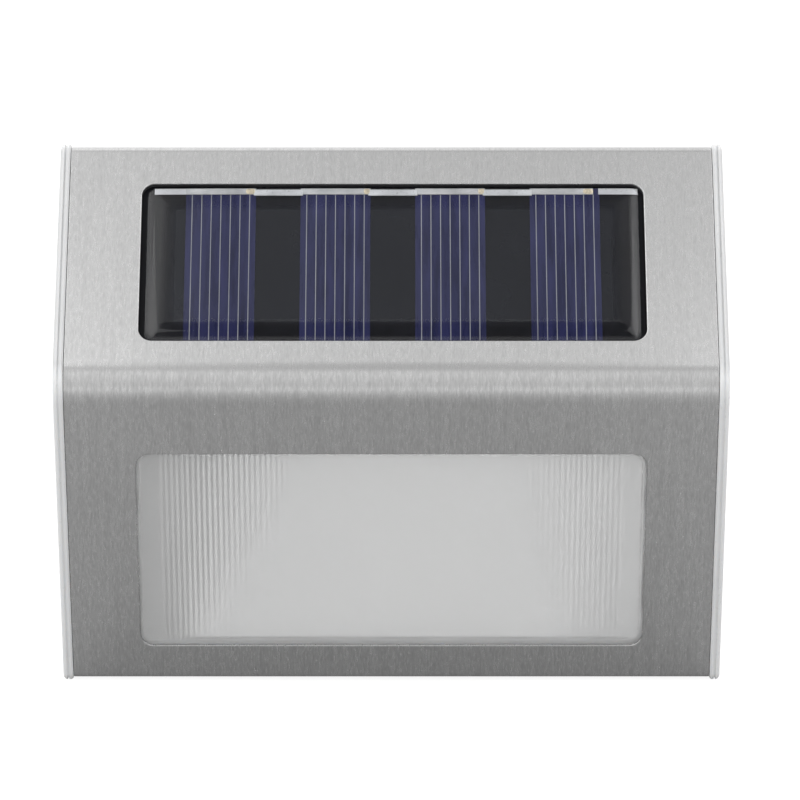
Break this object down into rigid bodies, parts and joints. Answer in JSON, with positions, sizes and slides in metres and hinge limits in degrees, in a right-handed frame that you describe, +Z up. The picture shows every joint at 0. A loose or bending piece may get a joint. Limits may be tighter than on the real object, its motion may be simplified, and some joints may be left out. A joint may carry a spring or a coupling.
{
  "type": "solar step light",
  "caption": "Wall-hung solar step light: bent steel cover with a rounded nose, solar panel above and ribbed lens below, milky housing with side rims.",
  "frame": {"origin": "middle of the rear face, which lies on the wall", "axes": "+X to the right as seen from the front, along the width; +Y back into the wall; +Z up, towards the solar panel"},
  "size_m": [0.118, 0.0335, 0.0952],
  "materials": {
    "steel": "vertically brushed stainless sheet",
    "housing": "milky translucent moulded plastic",
    "lens": "clear plastic with fine ribs",
    "tape": "adhesive tape",
    "seal": "black foam rubber",
    "gasket": "black rubber",
    "panel_board": "black laminate board",
    "cells": "blue silicon cell",
    "solder": "tinned ribbon",
    "resin": "clear cast resin",
    "reflector": "white plastic",
    "light_board": "white solder mask",
    "led": "white package",
    "black_plastic": "fine-grained black plastic",
    "cell_can": "nickel-plated steel",
    "sleeve": "green shrink sleeve",
    "nickel": "nickel plate",
    "green_board": "green solder mask",
    "part_black": "moulded black package",
    "ferrite": "dark ferrite",
    "capacitor": "dark blue sleeve",
    "phenolic": "brown laminate",
    "plate": "fine-grained dark grey plastic",
    "screw": "zinc-plated steel",
    "red_wire": "red insulation",
    "black_wire": "black insulation"
  },
  "bodies": {
    "housing": {"steel_cover": "steel", "cover_tape": "tape", "front_housing": "housing", "panel_seal": "seal", "panel_board": "panel_board", "solar_cells": "cells", "cell_ribbons": "solder", "panel_resin": "resin", "diffuser_lens": "lens", "reflector": "reflector", "led_board": "light_board", "leds": "led", "battery_cradle": "black_plastic", "battery_can": "cell_can", "battery_sleeve": "sleeve", "battery_plates": "nickel", "battery_spring": "nickel", "control_board": "green_board", "control_chip": "part_black", "charge_inductor": "ferrite", "smoothing_capacitor": "capacitor", "switch_shell": "nickel", "switch_base": "phenolic", "switch_pins": "nickel", "back_plate": "plate", "rear_gasket": "gasket", "case_screws": "screw", "inner_screws": "screw", "red_leads": "red_wire", "black_leads": "black_wire"},
    "switch_slider": {"switch_knob": "black_plastic"}
  },
  "joints": [
    {"name": "switch_slide", "type": "slide", "parent": "housing", "child": "switch_slider", "axis": [1, 0, 0], "range_m": [0, 0.002]}
  ]
}
